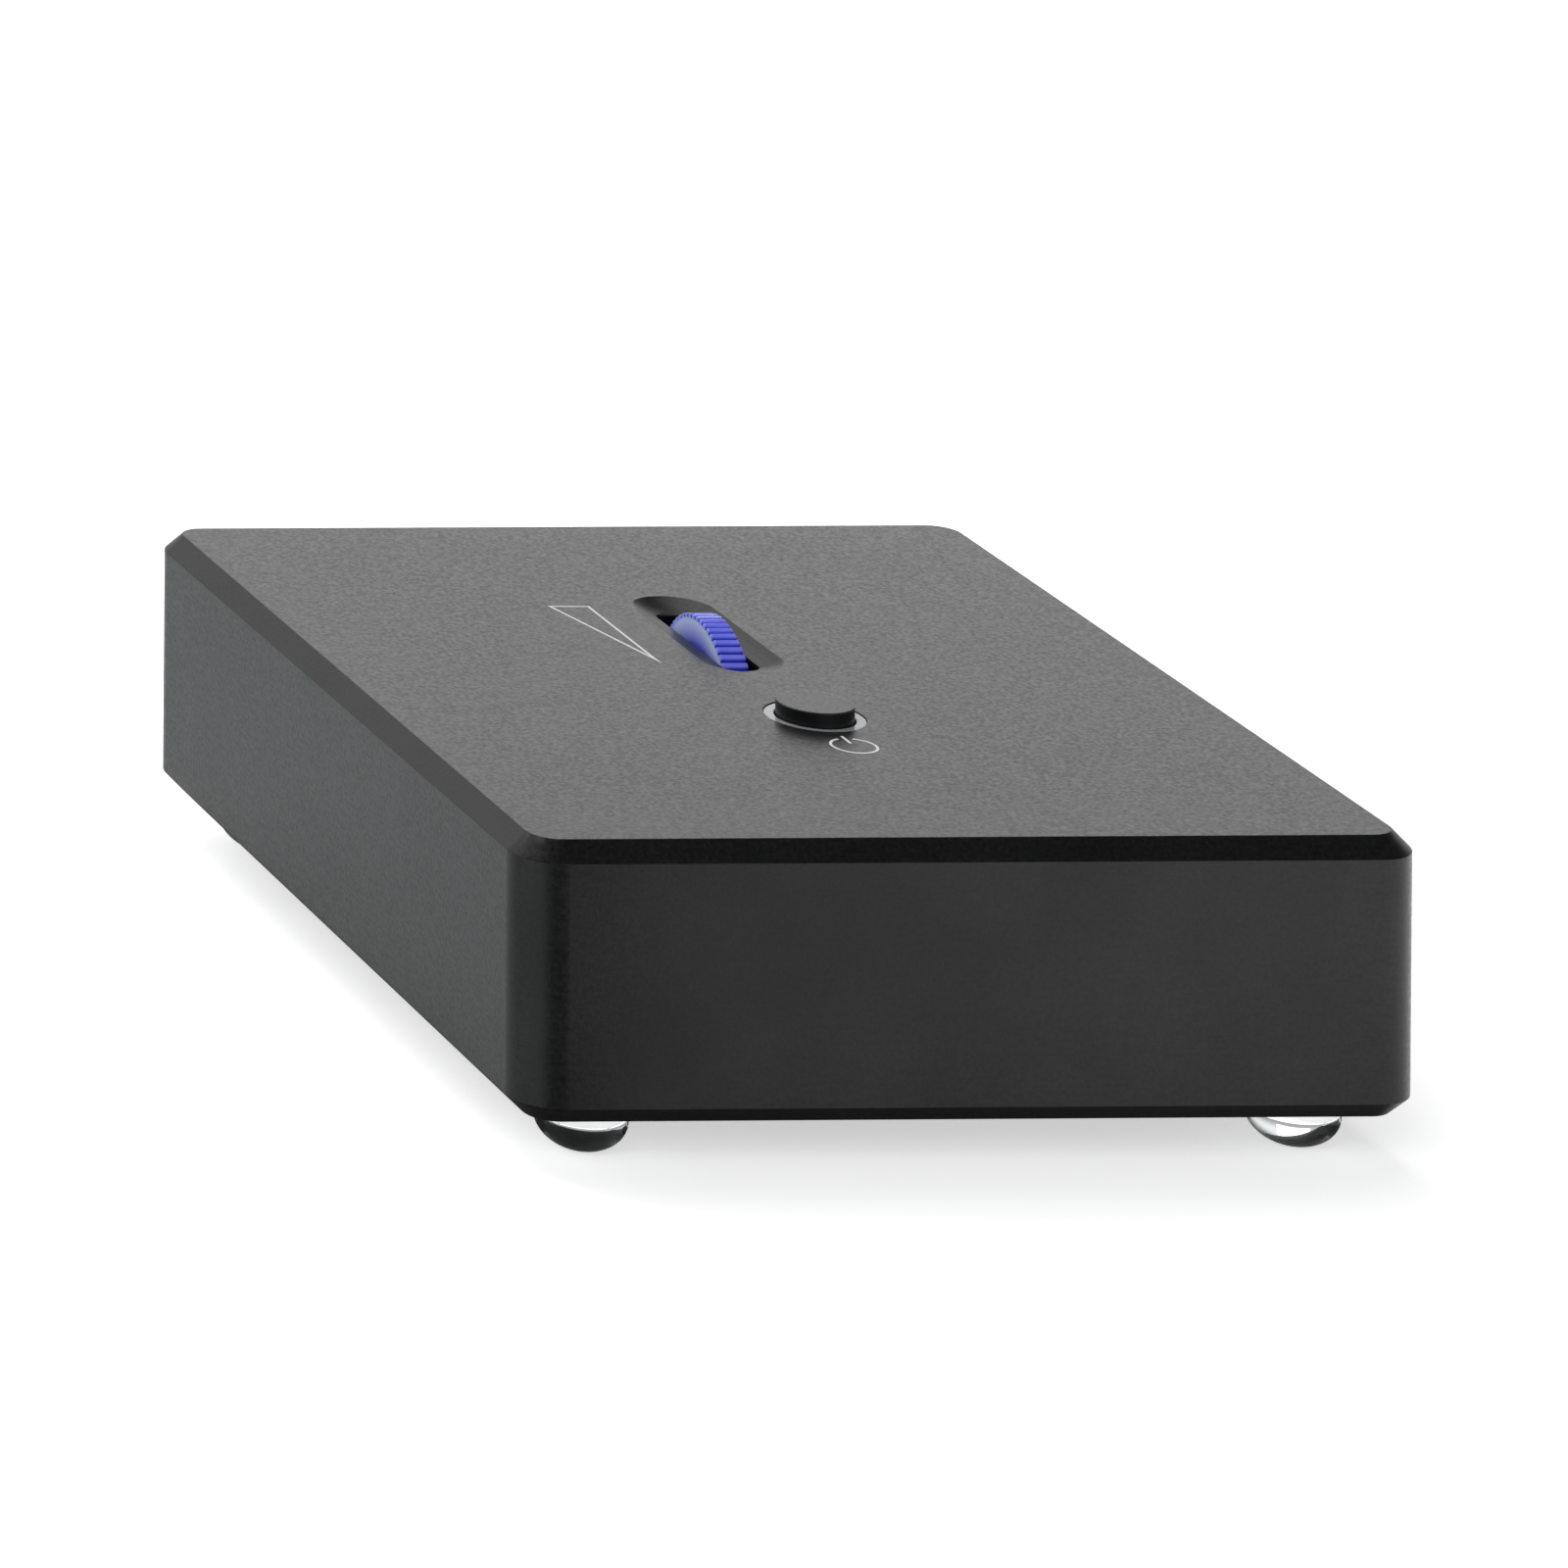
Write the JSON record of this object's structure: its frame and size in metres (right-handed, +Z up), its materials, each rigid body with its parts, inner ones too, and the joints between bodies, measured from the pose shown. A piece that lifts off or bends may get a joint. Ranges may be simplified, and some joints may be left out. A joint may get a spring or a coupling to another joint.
{
  "type": "phono preamplifier",
  "caption": "Small flat phono preamplifier: a chamfered dark metal case on clear feet, with a recessed thumbwheel for volume, a lit round power button and sockets along the rear.",
  "frame": {"origin": "on the surface that the feet stand on, under the middle of the whole footprint, sockets included", "axes": "+Y towards the rear, where the sockets are, +Z up, +X to the right seen from the front"},
  "size_m": [0.097, 0.123, 0.0375],
  "materials": {
    "case_metal": "dark grey, fine blasted and anodised",
    "plate_paint": "black, fine texture",
    "dark_screws": "black zinc",
    "bright_screws": "zinc plated",
    "wheel_plastic": "translucent blue, glossy",
    "shaft_metal": "ground",
    "button_metal": "dark grey, fine blasted and anodised",
    "ring_plastic": "opal, satin",
    "foot_plastic": "clear, glossy",
    "switch_plastic": "moulded, satin",
    "slider_plastic": "moulded, satin",
    "spring_steel": "drawn wire",
    "lamp_resin": "clear, glossy",
    "board_laminate": "green solder mask",
    "tin_plate": "tinned",
    "socket_nickel": "nickel plated",
    "contact_gold": "gold plated",
    "insulator_plastic": "moulded, satin",
    "left_ring_plastic": "white, moulded",
    "right_ring_plastic": "red, moulded",
    "jack_plastic": "black, moulded",
    "capacitor_sleeve": "shrunk sleeve",
    "film_case": "boxed, moulded",
    "chip_resin": "moulded",
    "relay_case": "moulded",
    "resistor_paint": "lacquered"
  },
  "bodies": {
    "case": {"amplifier_chips": "chip_resin", "base_plate": "plate_paint", "base_screws": "dark_screws", "board_screws": "bright_screws", "board_standoffs": "bright_screws", "button_spring": "spring_steel", "cartridge_switch_case": "switch_plastic", "case_body": "case_metal", "control_board": "board_laminate", "control_screws": "bright_screws", "film_capacitors": "film_case", "filter_capacitors": "capacitor_sleeve", "foot_front_left": "foot_plastic", "foot_front_right": "foot_plastic", "foot_rear_left": "foot_plastic", "foot_rear_right": "foot_plastic", "ground_lock_nut": "socket_nickel", "ground_stud": "socket_nickel", "headphone_jack": "jack_plastic", "headphone_nut": "socket_nickel", "inlet_pin": "socket_nickel", "input_left_contact": "contact_gold", "input_left_insulator": "insulator_plastic", "input_left_shell": "socket_nickel", "input_right_contact": "contact_gold", "input_right_insulator": "insulator_plastic", "input_right_shell": "socket_nickel", "left_colour_rings": "left_ring_plastic", "light_ring": "ring_plastic", "link_pins": "tin_plate", "link_socket": "switch_plastic", "main_board": "board_laminate", "output_left_contact": "contact_gold", "output_left_insulator": "insulator_plastic", "output_left_shell": "socket_nickel", "output_relay": "relay_case", "output_right_contact": "contact_gold", "output_right_insulator": "insulator_plastic", "output_right_shell": "socket_nickel", "power_inlet": "jack_plastic", "power_switch_case": "switch_plastic", "resistors": "resistor_paint", "right_colour_rings": "right_ring_plastic", "ring_lamps": "lamp_resin", "socket_nuts": "socket_nickel", "standoff_screws": "dark_screws", "voltage_regulator": "chip_resin", "volume_pot_case": "switch_plastic"},
    "wheel": {"volume_wheel": "wheel_plastic", "volume_shaft": "shaft_metal"},
    "button": {"power_button": "button_metal", "button_plunger": "switch_plastic"},
    "clamp_washer": {"ground_washer": "socket_nickel"},
    "clamp_nut": {"ground_nut": "socket_nickel"},
    "slider": {"cartridge_slider": "slider_plastic"}
  },
  "joints": [
    {"name": "volume_turn", "type": "hinge", "parent": "case", "child": "wheel", "pos_m": [0.00045, 0.0079, 0.0278], "axis": [-1, 0, 0], "range_deg": [-140, 140]},
    {"name": "power_press", "type": "slide", "parent": "case", "child": "button", "axis": [0, 0, -1], "range_m": [0, 0.0015], "stiffness_N_per_m": 600, "springref_m": -0.001, "deforming": ["button_spring"]},
    {"name": "ground_lift", "type": "slide", "parent": "case", "child": "clamp_washer", "axis": [0, 1, 0], "range_m": [0, 0.0014]},
    {"name": "ground_nut_turn", "type": "hinge", "parent": "clamp_washer", "child": "clamp_nut", "pos_m": [0.0375, 0.0525, 0.0204], "axis": [0, 1, 0], "range_deg": [0, 720]},
    {"name": "cartridge_select", "type": "slide", "parent": "case", "child": "slider", "axis": [1, 0, 0], "range_m": [0, 0.002]}
  ],
  "couplings": [
    {"joint": "ground_nut_turn", "follows": "ground_lift", "rad_per_m": 8975}
  ]
}
